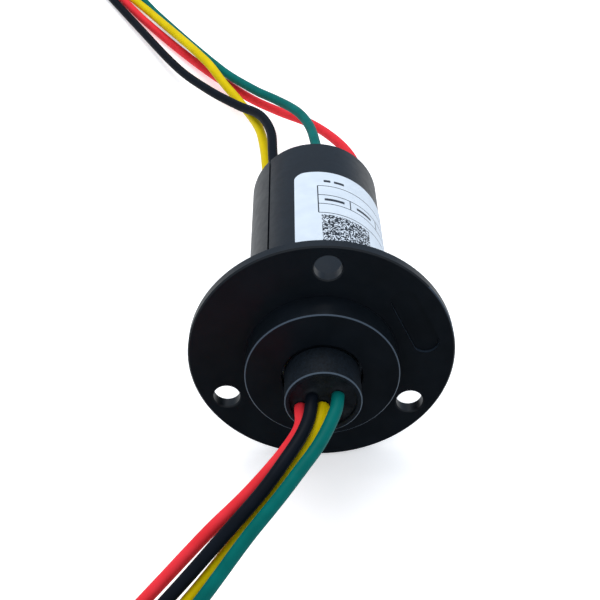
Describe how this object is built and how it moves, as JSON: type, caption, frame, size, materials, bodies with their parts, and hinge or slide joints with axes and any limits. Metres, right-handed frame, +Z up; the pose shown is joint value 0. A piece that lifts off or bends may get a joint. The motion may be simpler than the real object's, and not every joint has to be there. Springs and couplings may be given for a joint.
{
  "type": "slip ring",
  "caption": "Capsule slip ring: a flanged barrel housing with a hollow rotor shaft that turns without limit, and coloured leads from both ends.",
  "frame": {"origin": "on the surface that the part lies on, below the middle of the box of the housing and rotor (leads left out)", "axes": "+Z up, +Y towards the barrel end; the rotor axis lies in the YZ plane and its shaft end points to -Y, tilted up by 10.86 degrees, because the flange rim and the rear rim of the barrel both rest on the surface"},
  "size_m": [0.0874, 0.2744, 0.044],
  "materials": {
    "housing_plastic": "moulded, semi-gloss",
    "shaft_plastic": "moulded, satin",
    "label_film": "printed film",
    "bearing_steel": "ground",
    "cage_brass": "pressed",
    "sealing_resin": "poured epoxy",
    "contact_gold": "gold plated",
    "barrier_plastic": "moulded",
    "block_laminate": "glass laminate",
    "lead_red": "extruded PVC",
    "lead_black": "extruded PVC",
    "lead_yellow": "extruded PVC",
    "lead_green": "extruded PVC",
    "lead_coil": "wound PVC leads",
    "tie_film": "PVC strip"
  },
  "bodies": {
    "stator": {"flange_housing": "housing_plastic", "barrel_shell_left": "housing_plastic", "barrel_shell_right": "housing_plastic", "rear_cover": "housing_plastic", "label": "label_film", "front_bearing_outer": "bearing_steel", "front_bearing_balls": "bearing_steel", "front_bearing_cage": "cage_brass", "rear_bearing_outer": "bearing_steel", "rear_bearing_balls": "bearing_steel", "rear_bearing_cage": "cage_brass", "bore_circlip": "bearing_steel", "stator_conductors": "lead_black", "brush_block_left": "block_laminate", "brush_block_right": "block_laminate", "brush_left_1": "contact_gold", "brush_left_2": "contact_gold", "brush_left_3": "contact_gold", "brush_left_4": "contact_gold", "brush_right_1": "contact_gold", "brush_right_2": "contact_gold", "brush_right_3": "contact_gold", "brush_right_4": "contact_gold", "front_lead_red": "lead_red", "front_lead_black": "lead_black", "front_lead_yellow": "lead_yellow", "front_lead_green": "lead_green", "rear_lead_red": "lead_red", "rear_lead_black": "lead_black", "rear_lead_yellow": "lead_yellow", "rear_lead_green": "lead_green", "front_coil": "lead_coil", "rear_coil": "lead_coil", "front_tie": "tie_film", "rear_tie": "tie_film"},
    "rotor": {"rotor_shaft": "shaft_plastic", "rotor_resin": "sealing_resin", "stack_collar": "shaft_plastic", "rotor_conductors": "lead_red", "shaft_circlip": "bearing_steel", "front_bearing_inner": "bearing_steel", "rear_bearing_inner": "bearing_steel", "contact_ring_1": "contact_gold", "contact_ring_2": "contact_gold", "contact_ring_3": "contact_gold", "contact_ring_4": "contact_gold", "barrier_1": "barrier_plastic", "barrier_2": "barrier_plastic", "barrier_3": "barrier_plastic", "barrier_4": "barrier_plastic", "barrier_5": "barrier_plastic"}
  },
  "joints": [
    {"name": "rotor_spin", "type": "hinge", "parent": "stator", "child": "rotor", "pos_m": [0, -0.02086, 0.0222], "axis": [0, -0.9821, 0.1884], "continuous": true}
  ]
}
